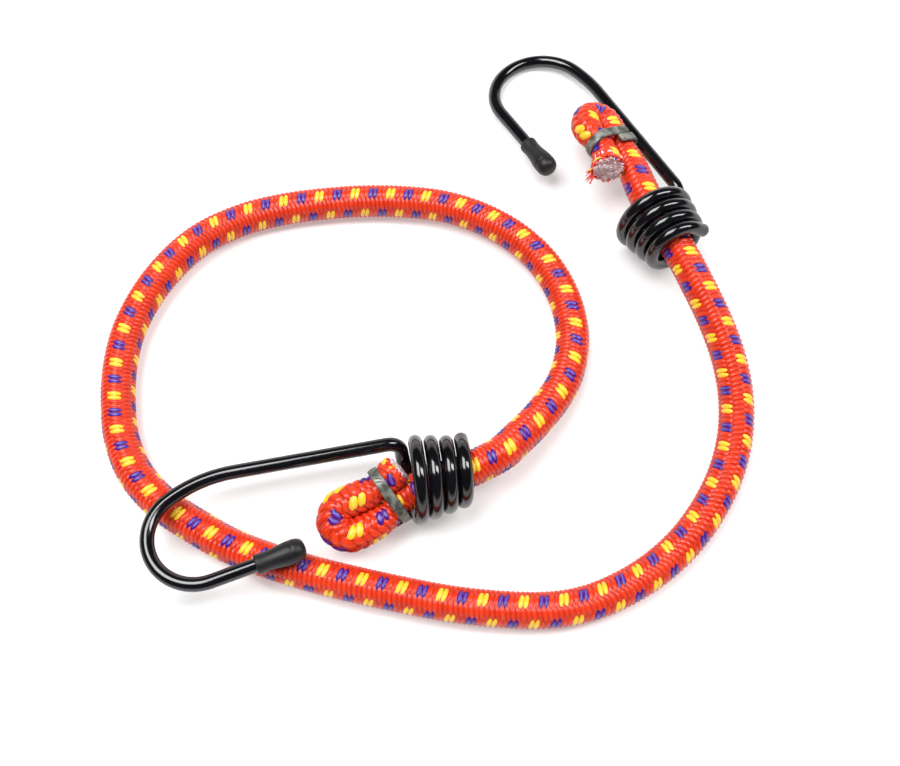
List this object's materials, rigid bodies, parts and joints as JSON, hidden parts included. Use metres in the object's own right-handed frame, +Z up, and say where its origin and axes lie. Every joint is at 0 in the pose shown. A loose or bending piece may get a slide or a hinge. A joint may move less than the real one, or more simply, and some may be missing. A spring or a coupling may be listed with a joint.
{
  "type": "bungee cord",
  "caption": "Red braided bungee cord with yellow and violet flecks, lying in an open loop, with a black coiled wire hook with a rubber tip on each end.",
  "frame": {"origin": "on the table, midway between the two hooks", "axes": "+X right and +Y away from the viewer of the picture, +Z up from the table"},
  "size_m": [0.1493, 0.154, 0.0201],
  "materials": {
    "braid": "woven polypropylene, red with yellow and violet flecks",
    "rubber_thread": "dull latex rubber",
    "black_coating": "glossy black coating on steel wire",
    "cap_rubber": "satin black",
    "zinc_clip": "dull zinc"
  },
  "bodies": {
    "cord": {"loop_run_sheath": "braid", "loop_run_thread_1": "rubber_thread", "loop_run_thread_2": "rubber_thread", "loop_run_thread_3": "rubber_thread", "loop_run_thread_4": "rubber_thread", "loop_run_thread_5": "rubber_thread", "loop_run_thread_6": "rubber_thread", "loop_run_thread_7": "rubber_thread", "left_lead_sheath": "braid", "left_lead_thread_1": "rubber_thread", "left_lead_thread_2": "rubber_thread", "left_lead_thread_3": "rubber_thread", "left_lead_thread_4": "rubber_thread", "left_lead_thread_5": "rubber_thread", "left_lead_thread_6": "rubber_thread", "left_lead_thread_7": "rubber_thread", "stretch_run_sheath": "braid", "stretch_run_thread_1": "rubber_thread", "stretch_run_thread_2": "rubber_thread", "stretch_run_thread_3": "rubber_thread", "stretch_run_thread_4": "rubber_thread", "stretch_run_thread_5": "rubber_thread", "stretch_run_thread_6": "rubber_thread", "stretch_run_thread_7": "rubber_thread"},
    "left_end": {"left_end_sheath": "braid", "left_end_thread_1": "rubber_thread", "left_end_thread_2": "rubber_thread", "left_end_thread_3": "rubber_thread", "left_end_thread_4": "rubber_thread", "left_end_thread_5": "rubber_thread", "left_end_thread_6": "rubber_thread", "left_end_thread_7": "rubber_thread", "left_clip": "zinc_clip"},
    "left_hook": {"left_hook_wire": "black_coating", "left_tip_cap": "cap_rubber"},
    "right_lead": {"right_lead_sheath": "braid", "right_lead_thread_1": "rubber_thread", "right_lead_thread_2": "rubber_thread", "right_lead_thread_3": "rubber_thread", "right_lead_thread_4": "rubber_thread", "right_lead_thread_5": "rubber_thread", "right_lead_thread_6": "rubber_thread", "right_lead_thread_7": "rubber_thread"},
    "right_end": {"right_end_sheath": "braid", "right_end_thread_1": "rubber_thread", "right_end_thread_2": "rubber_thread", "right_end_thread_3": "rubber_thread", "right_end_thread_4": "rubber_thread", "right_end_thread_5": "rubber_thread", "right_end_thread_6": "rubber_thread", "right_end_thread_7": "rubber_thread", "right_clip": "zinc_clip"},
    "right_hook": {"right_hook_wire": "black_coating", "right_tip_cap": "cap_rubber"}
  },
  "joints": [
    {"name": "left_end_lift", "type": "hinge", "parent": "cord", "child": "left_end", "pos_m": [0.0228, -0.0335, 0.0063], "axis": [-0.1994, 0.9799, 0], "range_deg": [0, 35], "deforming": ["left_lead_sheath", "left_lead_thread_1", "left_lead_thread_2", "left_lead_thread_3", "left_lead_thread_4", "left_lead_thread_5", "left_lead_thread_6", "left_lead_thread_7"]},
    {"name": "left_hook_swivel", "type": "hinge", "parent": "left_end", "child": "left_hook", "pos_m": [-0.00565, -0.04947, 0.01032], "axis": [-0.9796, -0.1993, 0.0262], "range_deg": [0, 12]},
    {"name": "cord_stretch", "type": "slide", "parent": "cord", "child": "right_lead", "axis": [0.1783, 0.984, 0], "range_m": [0, 0.06], "stiffness_N_per_m": 200, "deforming": ["stretch_run_sheath", "stretch_run_thread_1", "stretch_run_thread_2", "stretch_run_thread_3", "stretch_run_thread_4", "stretch_run_thread_5", "stretch_run_thread_6", "stretch_run_thread_7"]},
    {"name": "right_end_lift", "type": "hinge", "parent": "right_lead", "child": "right_end", "pos_m": [0.0658, -0.0186, 0.0083], "axis": [0.8886, 0.4587, 0], "range_deg": [0, 35], "deforming": ["right_lead_sheath", "right_lead_thread_1", "right_lead_thread_2", "right_lead_thread_3", "right_lead_thread_4", "right_lead_thread_5", "right_lead_thread_6", "right_lead_thread_7"]},
    {"name": "right_hook_swivel", "type": "hinge", "parent": "right_end", "child": "right_hook", "pos_m": [0.05096, 0.01814, 0.01032], "axis": [-0.4542, 0.88, -0.1392], "range_deg": [0, 180]}
  ]
}
